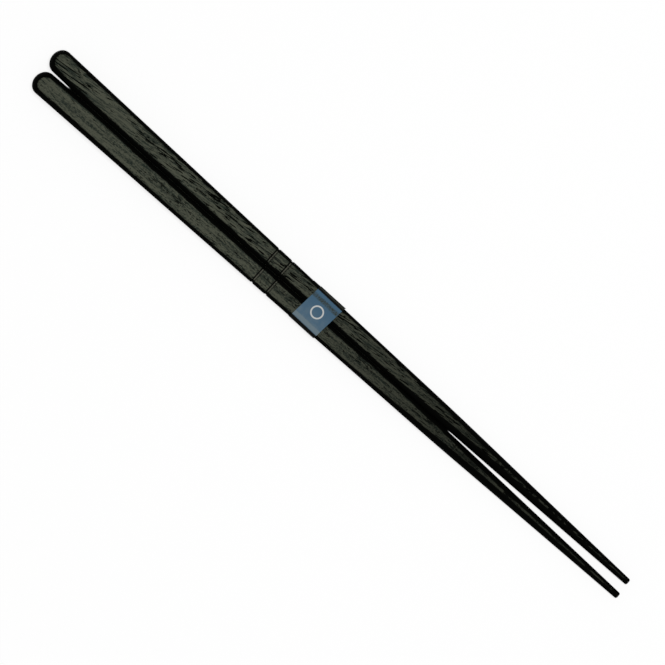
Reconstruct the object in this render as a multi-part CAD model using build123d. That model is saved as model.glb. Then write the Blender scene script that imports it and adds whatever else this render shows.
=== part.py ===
from build123d import *
import math
import os

# A pair of dark wooden chopsticks held side by side by a lapped paper band, lying flat.
# Millimetres. +X runs from the butts to the tips, +Y towards the left stick, +Z up.
# The origin is on the table, below the middle of the pair.

# Lengths of one stick, from the butt to the tip
flats_length = 142.0          # square grip, measured from the butt end
runout_length = 36.0          # the flats fade into a round section
round_length = 52.0           # round tip

# Widths across one stick
butt_width = 7.8
shoulder_width = 5.4          # halfway along the run-out, where the taper steepens
tip_width = 2.0

# Edges and ends
butt_corner_radius = 1.8
shoulder_corner_radius = 1.3
round_flat = 0.12             # straight left between the corner arcs of the round tip
butt_dome_depth = 3.4
butt_end_flat = 0.4
butt_relief = 0.42            # how far the inner side is eased away towards the butt end
butt_relief_length = 22.0
tip_dome_depth = 0.5
tip_end_flat = 1.0

# Rings cut round the grip
first_ring_from_butt = 87.8
ring_spacing = 5.35
ring_count = 2
ring_floor = 0.4
ring_wall_run = 0.3
ring_depth = 0.2

# How the two sticks lie beside each other
side_clearance = 0.02         # between the sticks under the band
tip_spread = 0.28             # how far each tip bends away from the other, half a length from the band
stagger = 0.5                 # how much nearer the tips the right stick lies

# Paper band
band_from_butt = 108.3        # to the middle of the band
band_width = 9.7
band_slant = 4.5              # degrees that the band sits askew
paper_thickness = 0.1
paper_clearance = 0.03
lap_depth = 4.2               # how far the glued outer end comes down the left side

stick_length = flats_length + runout_length + round_length
shoulder_from_butt = flats_length + runout_length / 2
round_from_butt = flats_length + runout_length
taper_ease = runout_length / 2
axis_fall = (butt_width - shoulder_width) / 2 / shoulder_from_butt
thick_end = band_from_butt - band_width / 2 - butt_width * math.tan(math.radians(band_slant))
extra_taper = (shoulder_width - tip_width) / (stick_length - shoulder_from_butt) - 2 * axis_fall


def butt_easing(along):
    return butt_relief * max(1 - along / butt_relief_length, 0) ** 2


def stick_width(along):
    """Gentle taper on the grip, eased in at the butt, and a steeper one on the tip, past the shoulder."""
    eased = min(max(along - shoulder_from_butt + taper_ease / 2, 0), taper_ease)
    past = max(along - shoulder_from_butt - taper_ease / 2, 0)
    tip_taper = extra_taper * (eased ** 2 / (2 * taper_ease) + past)
    return butt_width - 2 * axis_fall * along - butt_easing(along) - tip_taper


def corner_radius(along):
    """Radius of the section's corners: small on the grip, nearly half the width on the round tip."""
    grip = butt_corner_radius + (shoulder_corner_radius - butt_corner_radius) * along / shoulder_from_butt
    full = (stick_width(along) - round_flat) / 2
    faded = min(max((along - flats_length) / runout_length, 0), 1)
    share = faded * faded * (3 - 2 * faded)
    return grip + share * (full - grip)


def axis_height(along):
    """The grip's underside is level, so the axis falls towards the tip by half the taper."""
    return paper_thickness + paper_clearance + butt_width / 2 - axis_fall * along


def axis_offset(along):
    """Distance of the axis from the middle of the pair: eased at the butt, slightly bent at the tip."""
    reach = (along - band_from_butt) / (stick_length / 2)
    bend = tip_spread * max(reach, 0) ** 2
    return side_clearance / 2 + butt_width / 2 - axis_fall * along + butt_easing(along) / 2 + bend


def section_plane(along, offset):
    origin = (along - stick_length / 2, offset, axis_height(along))
    return Plane(origin=origin, x_dir=(0, 1, 0), z_dir=(1, 0, 0))


def stick_section(along, inset=0.0, rounding=0.0):
    """Soft square across the stick, drawn in by inset, its corners opened towards a circle by rounding."""
    width = stick_width(along) - 2 * inset
    full = (width - round_flat) / 2
    radius = min(corner_radius(along), full)
    radius += rounding * (full - radius)
    return section_plane(along, axis_offset(along)) * RectangleRounded(width, width, radius)


def evenly(first, last, count):
    return [first + (last - first) * i / (count - 1) for i in range(count)]


def stretch(first, last, count):
    return loft([stick_section(along) for along in evenly(first, last, count)])


def dome(inner, end, end_flat, steps=6):
    """Elliptical end of the stick, from its last full section to the small flat at the end plane."""
    inset = (stick_width(inner) - end_flat) / 2
    sections = []
    for angle in evenly(0, math.pi / 2, steps):
        along = inner + (end - inner) * math.sin(angle)
        drawn_in = 1 - math.cos(angle)
        sections.append(stick_section(along, inset * drawn_in, drawn_in))
    return loft(sections)


def ring_cutter(along):
    """Frame round the stick that cuts a groove with a flat floor and sloping walls."""
    floor_end = ring_floor / 2
    reach = floor_end + 2 * ring_wall_run
    half_groove = [(floor_end, ring_depth), (reach, -ring_depth)]
    stations = [(-shift, inset) for shift, inset in reversed(half_groove)] + half_groove
    waist = loft([stick_section(along + shift, inset) for shift, inset in stations], ruled=True)
    plane = section_plane(along - reach, axis_offset(along))
    block = extrude(plane * Rectangle(2 * butt_width, 2 * butt_width), 2 * reach)
    return block - waist


def left_stick():
    grip_start = butt_dome_depth
    tip_start = stick_length - tip_dome_depth
    stick = dome(grip_start, 0, butt_end_flat)
    stick += stretch(grip_start, butt_relief_length, 3)
    stick += stretch(butt_relief_length, flats_length, 4)
    stick += stretch(flats_length, round_from_butt, 9)
    stick += stretch(round_from_butt, tip_start, 4)
    stick += dome(tip_start, stick_length, tip_end_flat)
    for ring in range(ring_count):
        stick -= ring_cutter(first_ring_from_butt + ring * ring_spacing)
    return stick


def wrapping(growth, lap=0.0):
    """Straight block round both sticks, grown all round from their section at the band's thick end."""
    half_width = axis_offset(thick_end) + stick_width(thick_end) / 2 + growth
    height = stick_width(thick_end) + 2 * growth
    outline = RectangleRounded(2 * half_width + lap, height, corner_radius(thick_end) + growth)
    return extrude(section_plane(thick_end, lap / 2) * outline, 2 * band_width)


def paper_band():
    """Strip wrapped round both sticks: one layer, two on the left side where the outer end laps down."""
    middle = band_from_butt - stick_length / 2
    one_layer = paper_clearance + paper_thickness
    top = axis_height(thick_end) + stick_width(thick_end) / 2 + one_layer
    above_lap_edge = Pos(middle, butt_width, top) * Box(4 * band_width, 2 * butt_width, 2 * lap_depth)
    strip = wrapping(one_layer) + (wrapping(one_layer, paper_thickness) & above_lap_edge)
    strip -= wrapping(paper_clearance)
    slab = Box(band_width, 8 * butt_width, 8 * butt_width)
    return strip & Pos(middle, 0, 0) * Rot(0, 0, -band_slant) * slab


left = left_stick()
right = mirror(left, about=Plane.XZ)
pieces = {
    "chopstick_left": Pos(-stagger / 2, 0, 0) * left,
    "chopstick_right": Pos(stagger / 2, 0, 0) * right,
    "paper_band": paper_band(),
}

os.makedirs("parts", exist_ok=True)
for name, piece in pieces.items():
    export_step(piece, f"parts/{name}.step")
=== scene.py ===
import math

import bmesh
import bpy
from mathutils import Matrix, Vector


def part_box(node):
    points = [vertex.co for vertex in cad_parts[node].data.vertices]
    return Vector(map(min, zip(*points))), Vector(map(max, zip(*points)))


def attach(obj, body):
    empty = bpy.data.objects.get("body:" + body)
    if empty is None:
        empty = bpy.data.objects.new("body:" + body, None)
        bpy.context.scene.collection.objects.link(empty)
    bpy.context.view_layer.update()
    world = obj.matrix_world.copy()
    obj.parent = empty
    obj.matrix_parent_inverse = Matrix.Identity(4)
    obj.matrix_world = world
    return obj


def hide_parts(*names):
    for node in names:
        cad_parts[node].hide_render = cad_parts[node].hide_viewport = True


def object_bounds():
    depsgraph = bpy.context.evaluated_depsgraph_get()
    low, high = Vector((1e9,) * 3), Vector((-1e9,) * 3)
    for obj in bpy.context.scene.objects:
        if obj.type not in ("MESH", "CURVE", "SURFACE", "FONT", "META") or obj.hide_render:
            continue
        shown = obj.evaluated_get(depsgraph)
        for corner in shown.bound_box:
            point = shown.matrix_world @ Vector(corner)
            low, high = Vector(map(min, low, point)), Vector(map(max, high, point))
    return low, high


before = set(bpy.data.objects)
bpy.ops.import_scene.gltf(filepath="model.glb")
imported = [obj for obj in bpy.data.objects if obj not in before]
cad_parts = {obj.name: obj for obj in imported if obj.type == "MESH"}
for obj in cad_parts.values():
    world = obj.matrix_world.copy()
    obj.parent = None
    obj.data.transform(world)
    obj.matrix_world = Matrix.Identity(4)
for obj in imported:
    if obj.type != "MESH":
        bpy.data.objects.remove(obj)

bl_info = {
    "name": "Banded Chopsticks",
    "version": (1, 0, 0),
    "blender": (4, 5, 0),
    "location": "View3D > Sidebar > Chopsticks",
    "description": "Models a pair of dark wooden chopsticks in a lapped paper band, and their stage",
    "category": "Add Mesh",
}

MM = 0.001
CAD_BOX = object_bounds()
LEFT_LOW, LEFT_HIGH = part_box("chopstick_left")
RIGHT_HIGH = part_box("chopstick_right")[1]
BAND_LOW, BAND_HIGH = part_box("paper_band")
BAND_MIDDLE = (BAND_LOW + BAND_HIGH) / 2


def length_property(name, millimetres, description):
    return bpy.props.FloatProperty(
        name=name,
        description=description,
        default=millimetres * MM,
        unit="LENGTH",
        precision=5,
    )


def share_property(name, value, description):
    return bpy.props.FloatProperty(
        name=name,
        description=description,
        default=value,
        min=0.0,
        max=1.0,
        subtype="FACTOR",
    )


def colour_property(name, colour, description):
    return bpy.props.FloatVectorProperty(
        name=name,
        description=description,
        default=colour,
        size=3,
        min=0.0,
        max=1.0,
        subtype="COLOR",
    )


class StickSettings(bpy.types.PropertyGroup):
    """Sizes of one chopstick, and the finish of its wood"""

    flats_length: length_property("Flats", 142.0, "Square grip, from the butt end to where the flats fade")
    runout_length: length_property("Run-out", 36.0, "Stretch where the flats fade into the round tip")
    round_length: length_property("Round", 52.0, "Round tip")
    butt_width: length_property("Butt width", 7.8, "Width across the flats at the butt")
    shoulder_width: length_property("Shoulder width", 5.4, "Width where the taper steepens")
    tip_width: length_property("Tip width", 2.0, "Width of the round tip at its end")
    butt_corner: length_property("Butt corner", 1.8, "Corner radius of the section at the butt")
    shoulder_corner: length_property("Shoulder corner", 1.3, "Corner radius of the section at the shoulder")
    round_flat: length_property("Round flat", 0.12, "Straight left between the arcs of the round tip")
    butt_dome: length_property("Butt dome", 3.4, "Depth of the domed butt end")
    butt_end: length_property("Butt end", 0.4, "Small flat left at the end of the butt")
    butt_relief: length_property("Butt relief", 0.42, "How far the inner side is eased away at the butt")
    relief_length: length_property("Relief length", 22.0, "Stretch over which the butt is eased")
    tip_dome: length_property("Tip dome", 0.5, "Depth of the rounded tip end")
    tip_end: length_property("Tip end", 1.0, "Small flat left at the end of the tip")
    first_ring: length_property("First ring", 87.8, "From the butt end to the first cut ring")
    ring_spacing: length_property("Ring spacing", 5.35, "From one cut ring to the next")
    ring_floor: length_property("Ring floor", 0.4, "Width of the flat floor of a cut ring")
    ring_wall: length_property("Ring wall", 0.3, "Run of the sloping wall of a cut ring")
    ring_depth: length_property("Ring depth", 0.2, "Depth of a cut ring")
    side_clearance: length_property("Side clearance", 0.004, "Gap between the sticks under the band")
    tip_spread: length_property("Tip spread", 0.28, "How far each tip bends away from the other")
    corner_segments: bpy.props.IntProperty(
        name="Corner segments",
        description="Faces round each corner of the section",
        default=12,
        min=2,
    )
    pale_colour: colour_property("Pale grain", (0.0645, 0.0688, 0.0500), "Palest streaks of the flats")
    deep_colour: colour_property("Deep grain", (0.0150, 0.0200, 0.0158), "Darkest streaks of the flats")
    # The stain colour also stands for painted shade: on the edges, on the ring walls and towards the tip.
    stain_and_shade_colour: colour_property("Stain", (0.0006, 0.0007, 0.0005), "Stain in the pores and on the edges")
    cut_colour: colour_property("Cut wood", (0.066, 0.065, 0.051), "Wood bared in the floor of a cut ring")


class BandSettings(bpy.types.PropertyGroup):
    """Sizes and colours of the paper band"""

    width: length_property("Width", 9.7, "Width of the strip")
    slant: bpy.props.FloatProperty(
        name="Slant",
        description="Angle at which the strip winds round the sticks",
        default=math.radians(4.5),
        subtype="ANGLE",
    )
    thickness: length_property("Thickness", 0.1, "Thickness of the paper")
    clearance: length_property("Clearance", 0.03, "Room between the paper and the sticks")
    glue_gap: length_property("Glue gap", 0.008, "Glue between the lapped layers")
    tuck: length_property("Tuck", 3.2, "Height at which the inner end starts on the left side")
    lap: length_property("Lap", 4.2, "How far the outer end comes down the left side")
    paper_colour: colour_property("Paper", (0.0467, 0.0998, 0.1559), "Blue of the printed face")
    shade_colour: colour_property("Shade", (0.030, 0.038, 0.032), "Dim strip near the left edge")
    # Painted sheen: the paler strip stands in for light on the bend of the paper.
    sheen_colour: colour_property("Border", (0.119, 0.162, 0.188), "Paler strip along the right edge")
    # Painted shade: the sides and the back are near-black as if in shade.
    shaded_side_colour: colour_property("Sides", (0.0012, 0.0013, 0.0011), "Print round the sides and the back")
    # Painted highlight: a paler line along the left fold.
    fold_highlight_colour: colour_property("Fold", (0.021, 0.023, 0.018), "Print worn along the left fold")
    mark_colour: colour_property("Mark", (0.46, 0.47, 0.46), "Plain ring printed in the middle")
    core_colour: colour_property("Core", (0.20, 0.21, 0.21), "Cut edge of the paper")


class StageSettings(bpy.types.PropertyGroup):
    """Floor, light and camera"""

    floor_colour: colour_property("Floor", (0.97, 0.97, 0.97), "Pale table top")
    floor_glow: share_property("Floor glow", 0.7, "Share of plain white in the table top as it is seen")
    shade_start: length_property("Shade start", 9.4, "From the butts to where the gap closes")
    shade_end: length_property("Shade end", 161.2, "From the butts to where the gap opens again")
    shade_width: length_property("Shade width", 3.0, "Strip of table that stays in shade below the gap")
    lamp_power: bpy.props.FloatProperty(
        name="Overhead light",
        description="Power of the soft light above the table",
        default=20.0,
        unit="POWER",
    )
    lamp_size: length_property("Light size", 500.0, "Width of the soft light")
    lamp_height: length_property("Light height", 1600.0, "Height of the soft light above the table")
    lens: bpy.props.FloatProperty(
        name="Lens",
        description="Focal length of the camera",
        default=200.0,
        unit="CAMERA",
    )
    roll: bpy.props.FloatProperty(
        name="Roll",
        description="Turn of the camera about its line of sight",
        default=math.radians(42.136),
        subtype="ANGLE",
    )
    view_width: length_property("View width", 195.85, "Width of the table that the picture takes in")
    view_x: length_property("View X", 0.63, "Middle of the picture along the sticks")
    view_y: length_property("View Y", -1.35, "Middle of the picture across the sticks")


# Form of a stick along its length

GRIP_SECTIONS = 48
RUNOUT_SECTIONS = 25
ROUND_SECTIONS = 18
DOME_SECTIONS = 10
RING_ROOM = 1.0 * MM  # kept free of plain sections on both sides of a ring's edges


def stick_length(stick):
    return stick.flats_length + stick.runout_length + stick.round_length


def butt_place(stick):
    return LEFT_HIGH.x - stick_length(stick)


def shoulder_place(stick):
    return stick.flats_length + stick.runout_length / 2


def axis_fall(stick):
    return (stick.butt_width - stick.shoulder_width) / 2 / shoulder_place(stick)


def extra_taper(stick):
    tip_taper = (stick.shoulder_width - stick.tip_width) / (stick_length(stick) - shoulder_place(stick))
    return tip_taper - 2 * axis_fall(stick)


def butt_easing(stick, along):
    return stick.butt_relief * max(1 - along / stick.relief_length, 0) ** 2


def stick_width(stick, along):
    """Gentle taper on the grip, eased in at the butt, and a steeper one on the tip, past the shoulder."""
    shoulder = shoulder_place(stick)
    ease = stick.runout_length / 2
    eased = min(max(along - shoulder + ease / 2, 0), ease)
    past = max(along - shoulder - ease / 2, 0)
    tip_taper = extra_taper(stick) * (eased ** 2 / (2 * ease) + past)
    return stick.butt_width - 2 * axis_fall(stick) * along - butt_easing(stick, along) - tip_taper


def corner_radius(stick, along):
    change = (stick.shoulder_corner - stick.butt_corner) / shoulder_place(stick)
    grip = stick.butt_corner + change * along
    full = (stick_width(stick, along) - stick.round_flat) / 2
    faded = min(max((along - stick.flats_length) / stick.runout_length, 0), 1)
    return grip + faded * faded * (3 - 2 * faded) * (full - grip)


def axis_point(stick, along):
    """Middle of the left stick's section: level underside, eased butt, slight bend at the tip."""
    taper = stick.butt_width / 2 - axis_fall(stick) * along
    x = butt_place(stick) + along
    reach = (x - BAND_MIDDLE.x) / (stick_length(stick) / 2)
    bend = stick.tip_spread * max(reach, 0) ** 2
    apart = stick.side_clearance / 2 + butt_easing(stick, along) / 2 + bend
    return Vector((x, apart + taper, LEFT_LOW.z + taper))


def spread(first, last, count):
    return [first + (last - first) * i / (count - 1) for i in range(count)]


def dome_stations(stick, inner, end, end_flat):
    """Sections of an elliptical end, from the last full section to the end plane."""
    inset = (stick_width(stick, inner) - end_flat) / 2
    stations = []
    for angle in spread(0, math.pi / 2, DOME_SECTIONS):
        drawn_in = 1 - math.cos(angle)
        stations.append((inner + (end - inner) * math.sin(angle), inset * drawn_in, drawn_in))
    return stations


def ring_places(stick):
    return (stick.first_ring, stick.first_ring + stick.ring_spacing)


def ring_stations(stick):
    floor_end = stick.ring_floor / 2
    lip = floor_end + stick.ring_wall
    profile = ((-lip, 0), (-floor_end, stick.ring_depth), (floor_end, stick.ring_depth), (lip, 0))
    return [(place + shift, inset, 0) for place in ring_places(stick) for shift, inset in profile]


def stick_stations(stick):
    """Every section as its place from the butt, its inset and how far its corners open to a circle."""
    length = stick_length(stick)
    tip_start = length - stick.tip_dome
    round_place = stick.flats_length + stick.runout_length
    rings = ring_stations(stick)
    plain = spread(stick.butt_dome, stick.flats_length, GRIP_SECTIONS)[1:-1]
    plain += spread(stick.flats_length, round_place, RUNOUT_SECTIONS)
    plain += spread(round_place, tip_start, ROUND_SECTIONS)[1:-1]
    clear = [p for p in plain if all(abs(p - ring[0]) > RING_ROOM for ring in rings)]
    stations = dome_stations(stick, stick.butt_dome, 0, stick.butt_end)[::-1]
    stations += sorted([(p, 0, 0) for p in clear] + rings)
    return stations + dome_stations(stick, tip_start, length, stick.tip_end)


# Modelling helpers

STICK_CREASE = math.radians(35)
BAND_CREASE = math.radians(40)


def start_piece():
    if bpy.context.object and bpy.context.object.mode == "EDIT":
        bpy.ops.object.mode_set(mode="OBJECT")
    bpy.ops.object.select_all(action="DESELECT")


def only(piece):
    start_piece()
    piece.select_set(True)
    bpy.context.view_layer.objects.active = piece


def empty_mesh():
    """A new piece in edit mode, cleared of the primitive that it starts from."""
    start_piece()
    bpy.ops.mesh.primitive_plane_add(size=1)
    piece = bpy.context.object
    bpy.ops.object.mode_set(mode="EDIT")
    bpy.ops.mesh.delete(type="VERT")
    return piece


def add_section(stick, station, keep_face):
    along, inset, rounding = station
    width = stick_width(stick, along) - 2 * inset
    full = (width - stick.round_flat) / 2
    radius = min(corner_radius(stick, along), full)
    radius += rounding * (full - radius)
    centre = axis_point(stick, along)
    bpy.ops.mesh.primitive_plane_add(size=width, location=centre, rotation=(0, math.pi / 2, 0))
    bpy.ops.mesh.bevel(
        offset=radius,
        segments=stick.corner_segments,
        affect="VERTICES",
        clamp_overlap=False,
    )
    if not keep_face:
        bpy.ops.mesh.delete(type="ONLY_FACE")


def model_left_stick(stick):
    """Sections laid out along the stick, then bridged into one closed skin."""
    stations = stick_stations(stick)
    piece = empty_mesh()
    for number, station in enumerate(stations):
        add_section(stick, station, number in (0, len(stations) - 1))
    bpy.ops.mesh.select_all(action="SELECT")
    bpy.ops.mesh.bridge_edge_loops()
    bpy.ops.mesh.select_all(action="SELECT")
    bpy.ops.mesh.normals_make_consistent(inside=False)
    bpy.ops.object.mode_set(mode="OBJECT")
    return piece


def copy_to_right(left):
    """The right stick is the left one mirrored, a little nearer the tips."""
    only(left)
    bpy.ops.object.duplicate()
    right = bpy.context.object
    bpy.ops.object.mode_set(mode="EDIT")
    bpy.ops.mesh.select_all(action="SELECT")
    bpy.ops.transform.resize(value=(1, -1, 1), center_override=(0, 0, 0))
    bpy.ops.transform.translate(value=(RIGHT_HIGH.x - LEFT_HIGH.x, 0, 0))
    bpy.ops.mesh.normals_make_consistent(inside=False)
    bpy.ops.object.mode_set(mode="OBJECT")
    return right


def smooth(piece, crease):
    only(piece)
    bpy.ops.object.shade_smooth_by_angle(angle=crease)


def finish_piece(piece, name, node, materials):
    piece.name = name
    piece.data.name = name
    piece.data.materials.clear()
    for material in materials:
        piece.data.materials.append(material)
    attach(piece, "root")
    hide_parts(node)


# Sizes and depths of the finishes

# Range that takes in nearly all of a noise
NOISE_RANGE = (0.3, 0.7)

# Noises of the wood that both sticks share: lengths along and across the grain
GRAIN_SIZES = {
    "streaks": (26 * MM, 0.7 * MM),
    "flecks": (0.7 * MM, 0.25 * MM),
    "clusters": (18 * MM, 1.5 * MM),
    "fibres": (1.2 * MM, 0.1 * MM),
    "wobble": (3.0 * MM, 0.35 * MM),
}
FIGURING = (3.0, 0.55, 0.1)  # detail, roughness and distortion of the finest grain
GRAIN_TILT = math.radians(2)

# Stretches of a stick over which its finish and the light and shade painted on it change, from the butt
# end: among them the limits of the lit face, the lean, the drift of the painted sheen, the painted shade
# towards the tip, and the breaks and fade of the painted highlight line on the tip
BUTT_ROUND = 4.1 * MM
BUTT_LIMIT_RUN = (4 * MM, 22 * MM)
LONG_PORE_RUN = (12 * MM, 22 * MM)
BUTT_LEAN_RUN = (15 * MM, 45 * MM)
SHEEN_DRIFT_RUN = (15 * MM, 50 * MM)
TIP_SHADE_RUN = (85 * MM, 168 * MM)
TIP_LIMIT_RUN = (126 * MM, 190 * MM)
BREAK_RUN = (162 * MM, 182 * MM)
TIP_FADE_RUN = (205 * MM, 225 * MM)

# Pores: how sharp they are, and how much more or less readily they open from place to place
PORE_EDGE = 0.02
CLUSTER_DEPTH = 0.07
CLEAR_DEPTH = -0.08
CLEAR_EASE = 4 * MM
PORE_ZONE_DEPTHS = (-0.03, 0.02)
PORE_ZONE_EASE = 0.2
LONG_PORE_END = -0.3

# Lit face of a flat, outside which the edges are painted black as shade, and the painted highlight line
# along the tip: its half width and edge as shares of half the stick, its breaks and its tone, with a
# painted sheen across it and painted shade towards the tip
FACE_LIMIT = 0.645
FACE_EDGE = (-0.04, 0.05)
RAGGEDNESS = 0.03
BREAK_BREADTH = 4 * MM
BREAK_EDGE = 0.05
TIP_FADE = 0.8
SHEEN_ZONE_EASE = 0.15
FIBRE_LIGHT = 0.03
TIP_SHADE = 0.62

# Strips of a cut ring, from its middle
# The walls are darkened by stain and by painted shade in the groove, the far wall less than the near one.
NEAR_WALL = (-0.52 * MM, -0.10 * MM)
FAR_WALL = (0.24 * MM, 0.60 * MM)
BARED_FLOOR = (-0.08 * MM, 0.24 * MM)
STRIP_EDGE = 0.05 * MM
FAR_WALL_STAIN_AND_SHADE = 0.6
BARED_PATCHES = (0.35, 0.5)

# Roughness and relief of the wood
WOOD_ROUGHNESS = (0.55, 0.68)
PORE_ROUGHNESS = 0.85
FIBRE_RELIEF = 0.25

# Looks of the two sticks. Sizes are lengths along and across the grain, runs are places from the butt,
# zones, leans and limits are shares of half the width of the face, and levels are cuts through a noise: the
# higher a level, the fewer pores open. The limits bound the lit face, outside which the edges are painted
# black as shade; the leans shift the lit face and the painted highlight line on the tip across the stick;
# the lifted zone is a painted sheen; the breaks break up the highlight line.
COARSE_LOOK = {
    "shift": (0.013, 0.004, 0.021),
    "slant": math.radians(6.5),
    "grain": (3.6 * MM, 0.34 * MM),
    "weights": {"figuring": 0.5, "streaks": 0.3, "flecks": 0.25},
    "softness": 0.065,
    "pores": (5.0 * MM, 0.46 * MM),
    "pore_level": 0.60,
    "nicks": (2.8 * MM, 0.40 * MM),
    "nick_level": 0.63,
    "long_pores": (15.0 * MM, 0.66 * MM),
    "long_level": 0.585,
    "pore_depth": 0.98,
    "clear_run": (-20 * MM, 33 * MM),
    "pore_zone": (-0.12, 0.42),
    "sheen_zone": (-0.58, -0.2),
    "sheen_drift": -0.6,
    "sheen_lift": (0.004, 0.040),
    "butt_lean": 0.0,
    "lean": (0.06, 0.18),
    "lean_run": (130 * MM, 190 * MM),
    "butt_limit": 0.645,
    "tip_limit": 0.15,
    "tip_breaks": 0.48,
    "break_length": 2.0 * MM,
}
FINE_LOOK = {
    "shift": (0.190, 0.047, 0.033),
    "slant": math.radians(2.0),
    "grain": (2.2 * MM, 0.32 * MM),
    "weights": {"figuring": 0.35, "streaks": 0.45, "flecks": 0.5},
    "softness": 0.075,
    "pores": (2.6 * MM, 0.44 * MM),
    "pore_level": 0.64,
    "nicks": (0.9 * MM, 0.42 * MM),
    "nick_level": 0.64,
    "long_pores": (11.0 * MM, 0.34 * MM),
    "long_level": 0.80,
    "pore_depth": 0.8,
    "clear_run": (-20 * MM, 40 * MM),
    "pore_zone": (-0.4, 0.0),
    "sheen_zone": (0.2, 0.55),
    "sheen_drift": 0.0,
    "sheen_lift": (0.006, 0.045),
    "butt_lean": -0.07,
    "lean": (0.03, -0.12),
    "lean_run": (100 * MM, 165 * MM),
    "butt_limit": 0.605,
    "tip_limit": 0.16,
    "tip_breaks": 0.44,
    "break_length": 8 * MM,
}

# Print of the band, and the light and shade painted on it: edges and softness across its face, or out from
# its middle for the ring. The paler strip is a painted sheen, the dim strip painted shade and the line
# along the fold a painted highlight.
PANEL = (-5.24 * MM, 5.2 * MM, 0.12 * MM)
SHEEN_STRIP = (-5.1 * MM, -3.7 * MM, 0.25 * MM)
# The dim strip is painted shade near the rounded edge of the band.
DIM_STRIP = (2.9 * MM, 4.15 * MM, 0.3 * MM)
FOLD_HIGHLIGHT = (5.85 * MM, 6.2 * MM, 0.1 * MM)
RING_MARK = (1.6 * MM, 2.05 * MM, 0.06 * MM)
PRINT_TURN = 0.02
TOP_SHARES = (0.7, 0.8)  # shares of the band's height between which its top begins

# Tones of the print and of the painted light: how far they are mixed, and between which levels of the
# paper's noises. The wash is a painted sheen that pales the blue towards the paler strip, and the speckle
# breaks up the painted shade of the dim strip.
WASH_RUN = (-3.6 * MM, 2.6 * MM)
WASH = 0.42
WASH_MOTTLE = (0.4, 1.2)
SPECKLE_RANGE = (0.4, 0.6)
SPECKLE = (0.45, 1.0)
FADED = 0.12
FADED_MOTTLE = (0.35, 0.7)
FADED_FIBRES = (0.35, 0.65)

# Noises of the paper: length, breadth and detail
PAPER_FIBRES = (0.35 * MM, 0.35 * MM, 3.0)
PAPER_MOTTLE = (1.6 * MM, 1.6 * MM, 3.0)
CORE_FIBRES = (0.12 * MM, 0.12 * MM)
CORE_SHADE = 0.6
PAPER_ROUGHNESS = (0.55, 0.7)

# Sockets of a Mix node that blends colours
MIX_SHARE, MIX_FIRST, MIX_SECOND, MIX_RESULT = 0, 6, 7, 2


# Material helpers


def shader_node(tree, kind, inputs=None, **settings):
    made = tree.nodes.new(kind)
    for key, value in settings.items():
        setattr(made, key, value)
    for key, value in (inputs or {}).items():
        if isinstance(value, bpy.types.NodeSocket):
            tree.links.new(value, made.inputs[key])
        else:
            made.inputs[key].default_value = value
    return made


def new_material(name):
    material = bpy.data.materials.new(name)
    material.use_nodes = True
    tree = material.node_tree
    shader = next(n for n in tree.nodes if n.type == "BSDF_PRINCIPLED")
    return material, tree, shader


def figure(tree, operation, first, second=0.0):
    """One step of arithmetic on two values."""
    return shader_node(tree, "ShaderNodeMath", {0: first, 1: second}, operation=operation).outputs[0]


def ramp(tree, value, low, high, out_low=0.0, out_high=1.0, kind="SMOOTHSTEP"):
    """A value carried from one range to another."""
    inputs = {"Value": value, "From Min": low, "From Max": high, "To Min": out_low, "To Max": out_high}
    return shader_node(tree, "ShaderNodeMapRange", inputs, interpolation_type=kind).outputs["Result"]


def swing(tree, noise, depth):
    """A noise carried to the range from -depth to depth."""
    return ramp(tree, noise, *NOISE_RANGE, -depth, depth)


def between(tree, value, low, high, softness):
    """1 between two levels, with soft ends."""
    rise = ramp(tree, value, low - softness, low + softness)
    fall = ramp(tree, value, high - softness, high + softness, 1.0, 0.0)
    return figure(tree, "MULTIPLY", rise, fall)


def blend(tree, share, first, second):
    """Colour between two others, each of them a socket or three numbers."""
    inputs = {MIX_SHARE: share}
    for socket, colour in ((MIX_FIRST, first), (MIX_SECOND, second)):
        inputs[socket] = colour if isinstance(colour, bpy.types.NodeSocket) else (*colour, 1.0)
    return shader_node(tree, "ShaderNodeMix", inputs, data_type="RGBA").outputs[MIX_RESULT]


def stretched_noise(tree, space, length, breadth, detail=2.0, roughness=0.5, distortion=0.0):
    """Noise with features of a given length along the grain and breadth across it."""
    fitted = {"Vector": space, "Scale": (1 / length, 1 / breadth, 1 / breadth)}
    inputs = {
        "Vector": shader_node(tree, "ShaderNodeMapping", fitted).outputs[0],
        "Scale": 1.0,
        "Detail": detail,
        "Roughness": roughness,
        "Distortion": distortion,
    }
    return shader_node(tree, "ShaderNodeTexNoise", inputs).outputs[0]


def add_bump(tree, shader, height, strength, distance):
    inputs = {"Height": height, "Strength": strength, "Distance": distance}
    bump = shader_node(tree, "ShaderNodeBump", inputs)
    tree.links.new(bump.outputs[0], shader.inputs["Normal"])


# Wood finish


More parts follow.
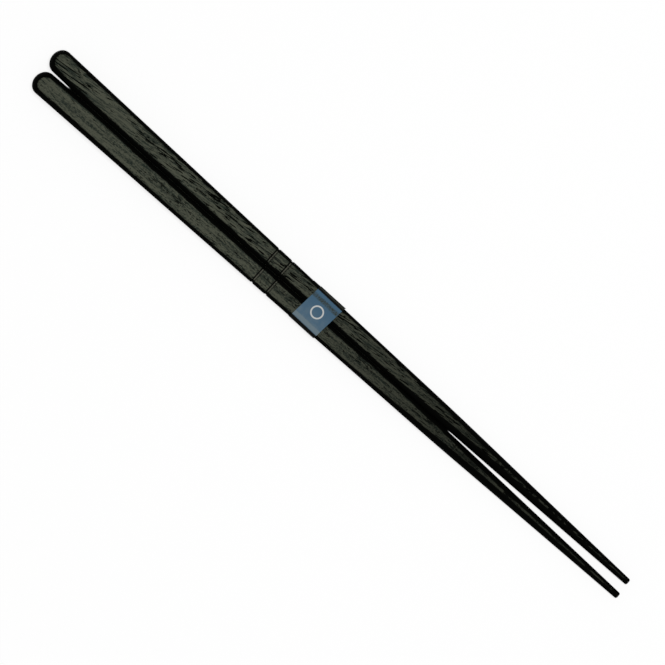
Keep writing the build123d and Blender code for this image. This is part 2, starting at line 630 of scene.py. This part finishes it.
def face_lines(tree, stick, x, along, look):
    """Height of a stick's axis above its underside, half its width, and the middle line of its face."""
    fall = figure(tree, "MULTIPLY", along, axis_fall(stick))
    axis_height = figure(tree, "SUBTRACT", stick.butt_width / 2, fall)
    past = figure(tree, "MAXIMUM", figure(tree, "SUBTRACT", along, shoulder_place(stick)), 0.0)
    left_over = figure(tree, "SUBTRACT", 1.0, figure(tree, "DIVIDE", along, stick.relief_length))
    eased = figure(tree, "POWER", figure(tree, "MAXIMUM", left_over, 0.0), 2.0)
    eased = figure(tree, "MULTIPLY", eased, stick.butt_relief)
    half = figure(tree, "SUBTRACT", axis_height, figure(tree, "MULTIPLY", past, extra_taper(stick) / 2))
    half = figure(tree, "SUBTRACT", half, figure(tree, "MULTIPLY", eased, 0.5))
    past_band = figure(tree, "SUBTRACT", x, BAND_MIDDLE.x)
    reach = figure(tree, "MAXIMUM", figure(tree, "DIVIDE", past_band, stick_length(stick) / 2), 0.0)
    bend = figure(tree, "MULTIPLY", figure(tree, "POWER", reach, 2.0), stick.tip_spread)
    # The lean shifts the lit face across the stick: the painted shade is wider on one edge, and the painted
    # highlight line on the tip moves to one side.
    lean = ramp(tree, along, *look["lean_run"], *look["lean"])
    lean = figure(tree, "ADD", lean, ramp(tree, along, *BUTT_LEAN_RUN, look["butt_lean"], 0.0))
    lean = figure(tree, "MULTIPLY", half, lean)
    middle = figure(tree, "ADD", figure(tree, "ADD", axis_height, bend), figure(tree, "ADD", lean, eased))
    return axis_height, half, middle


def place_on_stick(tree, stick, coords, butt_x, side, look):
    """Place along a stick, place across its face from -1 inside to 1 outside, distance from its middle."""
    parts = shader_node(tree, "ShaderNodeSeparateXYZ", {0: coords})
    along = figure(tree, "SUBTRACT", parts.outputs["X"], butt_x)
    axis_height, half, middle = face_lines(tree, stick, parts.outputs["X"], along, look)
    outward = figure(tree, "MULTIPLY", parts.outputs["Y"], side)
    offset = figure(tree, "SUBTRACT", outward, middle)
    height = figure(tree, "SUBTRACT", parts.outputs["Z"], LEFT_LOW.z)
    upright = figure(tree, "ABSOLUTE", figure(tree, "SUBTRACT", height, axis_height))
    off_axis = figure(tree, "MINIMUM", figure(tree, "ABSOLUTE", offset), upright)
    to_butt = figure(tree, "MAXIMUM", figure(tree, "SUBTRACT", BUTT_ROUND, along), 0.0)
    squares = figure(tree, "ADD", figure(tree, "POWER", off_axis, 2.0), figure(tree, "POWER", to_butt, 2.0))
    outness = figure(tree, "DIVIDE", figure(tree, "SQRT", squares), half)
    return along, figure(tree, "DIVIDE", offset, half), outness


def wood_grain(tree, coords, look):
    """The slanted grain as a space, and the noises of the wood in it by name."""
    turned = {"Vector": coords, "Location": look["shift"], "Rotation": (0, GRAIN_TILT, -look["slant"])}
    grain = shader_node(tree, "ShaderNodeMapping", turned).outputs[0]
    noises = {name: stretched_noise(tree, grain, *size) for name, size in GRAIN_SIZES.items()}
    noises["figuring"] = stretched_noise(tree, grain, *look["grain"], *FIGURING)
    return grain, noises


def open_pores(tree, grain, size, level, crowding):
    """Thin dark lines along the grain, more of them where they crowd together."""
    lines = figure(tree, "ADD", stretched_noise(tree, grain, *size, detail=1.0), crowding)
    return ramp(tree, lines, level, level + PORE_EDGE)


def wood_pores(tree, grain, noises, along, across, look):
    """Pores in clusters, nicks among them, and long thin lines at the butt."""
    crowding = swing(tree, noises["clusters"], CLUSTER_DEPTH)
    clear = between(tree, along, *look["clear_run"], CLEAR_EASE)
    crowding = figure(tree, "ADD", crowding, ramp(tree, clear, 0.0, 1.0, 0.0, CLEAR_DEPTH))
    zone = between(tree, across, *look["pore_zone"], PORE_ZONE_EASE)
    crowding = figure(tree, "ADD", crowding, ramp(tree, zone, 0.0, 1.0, *PORE_ZONE_DEPTHS))
    pores = open_pores(tree, grain, look["pores"], look["pore_level"], crowding)
    nicks = open_pores(tree, grain, look["nicks"], look["nick_level"], crowding)
    at_butt = ramp(tree, along, *LONG_PORE_RUN, 0.0, LONG_PORE_END)
    long_pores = open_pores(tree, grain, look["long_pores"], look["long_level"], at_butt)
    pores = figure(tree, "MAXIMUM", figure(tree, "MAXIMUM", pores, nicks), long_pores)
    return figure(tree, "MULTIPLY", pores, look["pore_depth"])


def lit_face_and_highlight(tree, coords, noises, along, outness, look):
    """1 on the lit middle of a flat and on the broken painted highlight line along the tip, 0 on the edges,
    which are painted black as shade.
    """
    butt_limit = ramp(tree, along, *BUTT_LIMIT_RUN, look["butt_limit"], FACE_LIMIT)
    tip_limit = ramp(tree, along, *TIP_LIMIT_RUN, FACE_LIMIT, look["tip_limit"])
    limit = figure(tree, "MINIMUM", butt_limit, tip_limit)
    ragged = figure(tree, "ADD", outness, swing(tree, noises["wobble"], RAGGEDNESS))
    ragged = figure(tree, "ADD", ragged, swing(tree, noises["flecks"], RAGGEDNESS))
    face = ramp(tree, figure(tree, "SUBTRACT", limit, ragged), *FACE_EDGE)
    breaks = stretched_noise(tree, coords, look["break_length"], BREAK_BREADTH)
    breaks = figure(tree, "ADD", breaks, swing(tree, noises["flecks"], BREAK_EDGE))
    shown = ramp(tree, breaks, look["tip_breaks"] - BREAK_EDGE, look["tip_breaks"] + BREAK_EDGE)
    shown = figure(tree, "MAXIMUM", shown, ramp(tree, along, *BREAK_RUN, 1.0, 0.0))
    shown = figure(tree, "MULTIPLY", shown, ramp(tree, along, *TIP_FADE_RUN, 1.0, TIP_FADE))
    return figure(tree, "MULTIPLY", face, shown)


def face_tone(tree, stick, noises, pores, along, across, look):
    """Colour of the lit face: grain from deep to pale with a painted sheen across it, stained pores, and
    painted shade darkening it towards the tip.
    """
    light = swing(tree, noises["fibres"], FIBRE_LIGHT)
    for name, weight in look["weights"].items():
        light = figure(tree, "ADD", light, figure(tree, "MULTIPLY", noises[name], weight))
    # The lifted zone across the face is a painted sheen on the side facing the light.
    drift = ramp(tree, along, *SHEEN_DRIFT_RUN, look["sheen_drift"], 0.0)
    pale = between(tree, figure(tree, "ADD", across, drift), *look["sheen_zone"], SHEEN_ZONE_EASE)
    light = figure(tree, "ADD", light, ramp(tree, pale, 0.0, 1.0, *look["sheen_lift"]))
    centre = sum(look["weights"].values()) / 2
    light = ramp(tree, light, centre - look["softness"], centre + look["softness"], kind="LINEAR")
    tone = blend(tree, light, stick.deep_colour, stick.pale_colour)
    tone = blend(tree, pores, tone, stick.stain_and_shade_colour)
    # Painted shade: the face darkens towards the tip.
    tip_shade = ramp(tree, along, *TIP_SHADE_RUN, 0.0, TIP_SHADE, "LINEAR")
    return blend(tree, tip_shade, tone, stick.stain_and_shade_colour)


def on_rings(tree, stick, along, low, high):
    """1 on a strip of each cut ring, its edges measured from the middle of the ring."""
    strips = [between(tree, along, place + low, place + high, STRIP_EDGE) for place in ring_places(stick)]
    return figure(tree, "MAXIMUM", *strips)


def cut_rings(tree, stick, colour, along, face, wobble):
    """A colour with the cut rings added: walls darkened by stain and painted shade, and patches of bared
    wood on the floors.
    """
    far_wall = figure(tree, "MULTIPLY", on_rings(tree, stick, along, *FAR_WALL), FAR_WALL_STAIN_AND_SHADE)
    walls = figure(tree, "MAXIMUM", on_rings(tree, stick, along, *NEAR_WALL), far_wall)
    patches = figure(tree, "MULTIPLY", face, ramp(tree, wobble, *BARED_PATCHES))
    bared = figure(tree, "MULTIPLY", on_rings(tree, stick, along, *BARED_FLOOR), patches)
    colour = blend(tree, walls, colour, stick.stain_and_shade_colour)
    return blend(tree, bared, colour, stick.cut_colour)


def dark_wood(stick, name, butt_x, side, look):
    """Black stained open-grained wood: streaked flats with a painted sheen, black pores, edges painted
    black as shade, a painted highlight line on the tips, ring walls darkened by stain and painted shade,
    and bared ring floors.
    """
    material, tree, shader = new_material(name)
    coords = shader_node(tree, "ShaderNodeTexCoord").outputs["Object"]
    along, across, outness = place_on_stick(tree, stick, coords, butt_x, side, look)
    grain, noises = wood_grain(tree, coords, look)
    pores = wood_pores(tree, grain, noises, along, across, look)
    face = lit_face_and_highlight(tree, coords, noises, along, outness, look)
    tone = face_tone(tree, stick, noises, pores, along, across, look)
    # Outside the lit face the wood takes the stain colour: painted shade on the edges.
    colour = blend(tree, face, stick.stain_and_shade_colour, tone)
    colour = cut_rings(tree, stick, colour, along, face, noises["wobble"])
    tree.links.new(colour, shader.inputs["Base Color"])
    roughness = ramp(tree, noises["fibres"], *NOISE_RANGE, *WOOD_ROUGHNESS)
    roughness = figure(tree, "MAXIMUM", roughness, figure(tree, "MULTIPLY", pores, PORE_ROUGHNESS))
    tree.links.new(roughness, shader.inputs["Roughness"])
    shader.inputs["Specular IOR Level"].default_value = 0.01
    relief = figure(tree, "SUBTRACT", figure(tree, "MULTIPLY", noises["fibres"], FIBRE_RELIEF), pores)
    add_bump(tree, shader, relief, strength=0.5, distance=0.04 * MM)
    return material


# Paper finish


def face_print_and_light(tree, band, across, reach, fibres, mottle):
    """Colour of the blue face: a painted sheen that pales it towards a strip on the right, a dim strip of
    painted shade, and a plain printed ring.
    """
    washed = ramp(tree, across, *WASH_RUN, WASH, 0.0)
    washed = figure(tree, "MULTIPLY", washed, ramp(tree, mottle, *NOISE_RANGE, *WASH_MOTTLE))
    tone = blend(tree, washed, band.paper_colour, band.sheen_colour)
    speckled = ramp(tree, fibres, *SPECKLE_RANGE, *SPECKLE)
    dim = figure(tree, "MULTIPLY", between(tree, across, *DIM_STRIP), speckled)
    tone = blend(tree, dim, tone, band.shade_colour)
    tone = blend(tree, between(tree, across, *SHEEN_STRIP), tone, band.sheen_colour)
    return blend(tree, between(tree, reach, *RING_MARK), tone, band.mark_colour)


def shaded_sides(tree, band, across, on_top, fibres, mottle):
    """Colour of the sides and back, painted near-black as shade, faded here and there, with a painted
    highlight along the fold.
    """
    faded = ramp(tree, mottle, *FADED_MOTTLE, 0.0, FADED)
    faded = figure(tree, "MULTIPLY", faded, ramp(tree, fibres, *FADED_FIBRES))
    # The line along the fold is a painted highlight.
    fold = figure(tree, "MULTIPLY", between(tree, across, *FOLD_HIGHLIGHT), on_top)
    return blend(tree, figure(tree, "MAXIMUM", faded, fold), band.shaded_side_colour, band.fold_highlight_colour)


def printed_paper(band):
    """Satin paper, printed blue on its face with painted sheen and shade on it, and painted near-black as
    shade round the sides and the back.
    """
    material, tree, shader = new_material("blue_band_paper")
    coords = shader_node(tree, "ShaderNodeTexCoord").outputs["Object"]
    moved = {"Vector": coords, "Location": (-BAND_MIDDLE.x, 0, 0)}
    centred = shader_node(tree, "ShaderNodeMapping", moved).outputs[0]
    fibres = stretched_noise(tree, centred, *PAPER_FIBRES)
    mottle = stretched_noise(tree, centred, *PAPER_MOTTLE)
    x, y, z = shader_node(tree, "ShaderNodeSeparateXYZ", {0: centred}).outputs
    across = figure(tree, "ADD", y, figure(tree, "MULTIPLY", x, PRINT_TURN))
    flat = shader_node(tree, "ShaderNodeCombineXYZ", {"X": x, "Y": y}).outputs[0]
    reach = shader_node(tree, "ShaderNodeVectorMath", {0: flat}, operation="LENGTH").outputs["Value"]
    on_top = ramp(tree, z, *(share * BAND_HIGH.z for share in TOP_SHARES))
    panel = figure(tree, "MULTIPLY", on_top, between(tree, across, *PANEL))
    face = face_print_and_light(tree, band, across, reach, fibres, mottle)
    side = shaded_sides(tree, band, across, on_top, fibres, mottle)
    tree.links.new(blend(tree, panel, side, face), shader.inputs["Base Color"])
    tree.links.new(ramp(tree, fibres, *NOISE_RANGE, *PAPER_ROUGHNESS), shader.inputs["Roughness"])
    shader.inputs["Specular IOR Level"].default_value = 0.04
    add_bump(tree, shader, fibres, strength=0.35, distance=0.02 * MM)
    return material


def paper_core(band):
    """Fibrous core that shows at the cut edges of the paper."""
    material, tree, shader = new_material("cut_paper_edge")
    coords = shader_node(tree, "ShaderNodeTexCoord").outputs["Object"]
    fibres = stretched_noise(tree, coords, *CORE_FIBRES)
    shaded = [CORE_SHADE * channel for channel in band.core_colour]
    tree.links.new(blend(tree, fibres, band.core_colour, shaded), shader.inputs["Base Color"])
    shader.inputs["Roughness"].default_value = 0.9
    return material


# Paper band


def select_edges(piece, test):
    """Selects, in edit mode, the edges whose two ends both pass the test."""
    bpy.ops.mesh.select_mode(type="EDGE")
    bpy.ops.mesh.select_all(action="DESELECT")
    mesh = bmesh.from_edit_mesh(piece.data)
    for edge in mesh.edges:
        edge.select_set(all(test(vert.co) for vert in edge.verts))
    bmesh.update_edit_mesh(piece.data)


def lead(distance, direction, winding, steps=4):
    """Draws the strip on in a straight line; winding carries it along the sticks as it goes round."""
    step = distance / steps
    move = (winding * step, direction[0] * step, direction[1] * step)
    for _ in range(steps):
        bpy.ops.mesh.extrude_region_move(TRANSFORM_OT_translate={"value": move})


def turn_corner(centre, radius, winding, steps=10):
    """Draws the strip a quarter turn round a corner of the pair."""
    angle = math.pi / 2 / steps
    pivot = (BAND_MIDDLE.x, centre[0], centre[1])
    move = (winding * radius * angle, 0, 0)
    for _ in range(steps):
        bpy.ops.mesh.extrude_region_move(TRANSFORM_OT_translate={"value": move})
        bpy.ops.transform.rotate(value=angle, orient_axis="X", center_override=pivot)


def start_strip(width, place):
    """The tucked end of the strip: one edge across it, selected and ready to be led on."""
    piece = empty_mesh()
    bpy.ops.mesh.primitive_plane_add(size=width, location=place)
    select_edges(piece, lambda corner: corner.y > place.y)
    bpy.ops.mesh.delete(type="VERT")
    bpy.ops.mesh.select_all(action="SELECT")
    bpy.ops.transform.translate(value=(0, width / 2, 0))
    return piece


def model_band(stick, band):
    """One strip led round both sticks, from its tucked end on the left side to the lapped end over it."""
    winding = math.tan(band.slant)
    radius = corner_radius(stick, BAND_LOW.x - LEFT_LOW.x) + band.clearance
    low = BAND_LOW.z + band.thickness
    high = BAND_HIGH.z - band.thickness
    side = -BAND_LOW.y - band.thickness
    lapped = side + band.thickness + band.glue_gap
    down, right, up, left = (0, -1), (-1, 0), (0, 1), (1, 0)
    sides = high - low - 2 * radius
    across = 2 * (side - radius)
    # Strip that is led on before the middle of the top, which lies on the middle of the band
    before_top = band.tuck - radius + 3 * radius * math.pi / 2 + across + sides + across / 2
    start = Vector((BAND_MIDDLE.x - winding * before_top, side, low + band.tuck))
    piece = start_strip(band.width, start)
    lead(band.tuck - radius, down, winding)
    turn_corner((side - radius, low + radius), radius, winding)
    lead(across, right, winding, steps=8)
    turn_corner((radius - side, low + radius), radius, winding)
    lead(sides, up, winding)
    turn_corner((radius - side, high - radius), radius, winding)
    lead(across + lapped - side, left, winding, steps=8)
    turn_corner((lapped - radius, high - radius), radius, winding)
    lead(band.lap - radius - band.thickness, down, winding)
    bpy.ops.mesh.select_all(action="SELECT")
    bpy.ops.mesh.flip_normals()
    bpy.ops.object.mode_set(mode="OBJECT")
    return piece


def thicken_band(piece, band):
    """Gives the strip its thickness, outwards, with the second material on its cut edges."""
    only(piece)
    wall = piece.modifiers.new("paper", "SOLIDIFY")
    wall.thickness = band.thickness
    wall.offset = 1.0
    wall.material_offset_rim = 1
    bpy.ops.object.modifier_apply(modifier=wall.name)


class CHOPSTICKS_OT_carve(bpy.types.Operator):
    """Models both chopsticks and finishes their wood"""

    bl_idname = "chopsticks.carve"
    bl_label = "Carve Sticks"

    def execute(self, context):
        stick = context.scene.stick_settings
        left = model_left_stick(stick)
        right = copy_to_right(left)
        left_butt = butt_place(stick)
        right_butt = left_butt + RIGHT_HIGH.x - LEFT_HIGH.x
        coarse = dark_wood(stick, "coarse_black_wood", left_butt, 1, COARSE_LOOK)
        fine = dark_wood(stick, "fine_black_wood", right_butt, -1, FINE_LOOK)
        for piece, name, node, wood in (
            (left, "left_chopstick", "chopstick_left", coarse),
            (right, "right_chopstick", "chopstick_right", fine),
        ):
            smooth(piece, STICK_CREASE)
            finish_piece(piece, name, node, [wood])
        return {"FINISHED"}


class CHOPSTICKS_OT_wrap(bpy.types.Operator):
    """Winds the paper band round the sticks"""

    bl_idname = "chopsticks.wrap"
    bl_label = "Wrap Band"

    def execute(self, context):
        band = context.scene.band_settings
        piece = model_band(context.scene.stick_settings, band)
        thicken_band(piece, band)
        smooth(piece, BAND_CREASE)
        papers = [printed_paper(band), paper_core(band)]
        finish_piece(piece, "paper_strip", "paper_band", papers)
        return {"FINISHED"}


# Stage

FLOOR_SIZE = 6.0  # metres
SHADE_END_SOFTNESS = 1.0 * MM
SHADE_SIDE_SOFTNESS = 0.5 * MM
ROOM_LIGHT = 0.25
LAMP_PLACE = (0.05, 0.08)  # metres
SENSOR_WIDTH = 36.0  # millimetres
VIEW_DEPTH = 20.0  # metres


def seen_directly(tree):
    """1 for what the camera sees, also in a reflection or through glass."""
    path = shader_node(tree, "ShaderNodeLightPath")
    seen = figure(tree, "MAXIMUM", path.outputs["Is Camera Ray"], path.outputs["Is Glossy Ray"])
    return figure(tree, "MAXIMUM", seen, path.outputs["Is Transmission Ray"])


def table_material(stage):
    """Pale table top, painted black as shadow on a narrow strip right below the closed gap between the
    sticks.
    """
    material, tree, shader = new_material("pale_table_top")
    shader.inputs["Roughness"].default_value = 0.9
    shader.inputs["Specular IOR Level"].default_value = 0.1
    white = shader_node(tree, "ShaderNodeEmission", {"Color": (1, 1, 1, 1), "Strength": 1.0})
    coords = shader_node(tree, "ShaderNodeTexCoord").outputs["Object"]
    parts = shader_node(tree, "ShaderNodeSeparateXYZ", {0: coords})
    start = CAD_BOX[0].x + stage.shade_start
    end = CAD_BOX[0].x + stage.shade_end
    along = between(tree, parts.outputs["X"], start, end, SHADE_END_SOFTNESS)
    half = stage.shade_width / 2
    across = between(tree, parts.outputs["Y"], -half, half, SHADE_SIDE_SOFTNESS)
    shade = figure(tree, "MULTIPLY", along, across)
    # Painted shadow: the strip below the gap is coloured black.
    tree.links.new(blend(tree, shade, stage.floor_colour, (0, 0, 0)), shader.inputs["Base Color"])
    glow = ramp(tree, shade, 0.0, 1.0, stage.floor_glow, 0.0)
    share = figure(tree, "MULTIPLY", seen_directly(tree), glow)
    inputs = {0: share, 1: shader.outputs[0], 2: white.outputs[0]}
    mixed = shader_node(tree, "ShaderNodeMixShader", inputs)
    output = next(n for n in tree.nodes if n.type == "OUTPUT_MATERIAL")
    tree.links.new(mixed.outputs[0], output.inputs["Surface"])
    return material


def add_floor(stage):
    start_piece()
    bpy.ops.mesh.primitive_plane_add(size=FLOOR_SIZE)
    floor = bpy.context.object
    floor.name = "table_top"
    floor.data.materials.append(table_material(stage))


def add_world():
    """White surroundings that give only a little light."""
    world = bpy.data.worlds.new("studio")
    bpy.context.scene.world = world
    world.use_nodes = True
    tree = world.node_tree
    tree.nodes.clear()
    dim = shader_node(tree, "ShaderNodeBackground", {"Color": (1, 1, 1, 1), "Strength": ROOM_LIGHT})
    white = shader_node(tree, "ShaderNodeBackground", {"Color": (1, 1, 1, 1), "Strength": 1.0})
    inputs = {0: seen_directly(tree), 1: dim.outputs[0], 2: white.outputs[0]}
    mixed = shader_node(tree, "ShaderNodeMixShader", inputs)
    shader_node(tree, "ShaderNodeOutputWorld", {"Surface": mixed.outputs[0]})


def add_lamp(stage):
    bpy.ops.object.light_add(type="AREA", location=(*LAMP_PLACE, stage.lamp_height))
    lamp = bpy.context.object
    lamp.name = "overhead_light"
    lamp.data.shape = "DISK"
    lamp.data.size = stage.lamp_size
    lamp.data.energy = stage.lamp_power
    lamp.rotation_euler = (-lamp.location).to_track_quat("-Z", "Y").to_euler()
    lamp.visible_camera = False


def add_camera(stage):
    height = LEFT_HIGH.z / 2 + stage.view_width * stage.lens / SENSOR_WIDTH
    bpy.ops.object.camera_add(location=(stage.view_x, stage.view_y, height), rotation=(0, 0, stage.roll))
    camera = bpy.context.object
    camera.name = "table_camera"
    camera.data.sensor_width = SENSOR_WIDTH
    camera.data.lens = stage.lens
    camera.data.clip_end = VIEW_DEPTH
    bpy.context.scene.camera = camera


class CHOPSTICKS_OT_stage(bpy.types.Operator):
    """Sets the table, the light and the camera"""

    bl_idname = "chopsticks.stage"
    bl_label = "Set Stage"

    def execute(self, context):
        stage = context.scene.stage_settings
        context.scene.view_settings.view_transform = "Standard"
        add_floor(stage)
        add_world()
        add_lamp(stage)
        add_camera(stage)
        return {"FINISHED"}


class CHOPSTICKS_PT_sidebar(bpy.types.Panel):
    """Sizes, colours and steps of the chopsticks"""

    bl_label = "Chopsticks"
    bl_idname = "CHOPSTICKS_PT_sidebar"
    bl_space_type = "VIEW_3D"
    bl_region_type = "UI"
    bl_category = "Chopsticks"

    def draw(self, context):
        for operator, settings in (
            (CHOPSTICKS_OT_carve, context.scene.stick_settings),
            (CHOPSTICKS_OT_wrap, context.scene.band_settings),
            (CHOPSTICKS_OT_stage, context.scene.stage_settings),
        ):
            box = self.layout.box()
            box.operator(operator.bl_idname)
            for name in settings.__annotations__:
                box.prop(settings, name)


CLASSES = (
    StickSettings,
    BandSettings,
    StageSettings,
    CHOPSTICKS_OT_carve,
    CHOPSTICKS_OT_wrap,
    CHOPSTICKS_OT_stage,
    CHOPSTICKS_PT_sidebar,
)


def register():
    for cls in CLASSES:
        bpy.utils.register_class(cls)
    bpy.types.Scene.stick_settings = bpy.props.PointerProperty(type=StickSettings)
    bpy.types.Scene.band_settings = bpy.props.PointerProperty(type=BandSettings)
    bpy.types.Scene.stage_settings = bpy.props.PointerProperty(type=StageSettings)


def unregister():
    del bpy.types.Scene.stage_settings
    del bpy.types.Scene.band_settings
    del bpy.types.Scene.stick_settings
    for cls in reversed(CLASSES):
        bpy.utils.unregister_class(cls)


def main():
    register()
    bpy.ops.chopsticks.carve()
    bpy.ops.chopsticks.wrap()
    bpy.ops.chopsticks.stage()


if __name__ == "__main__":
    main()
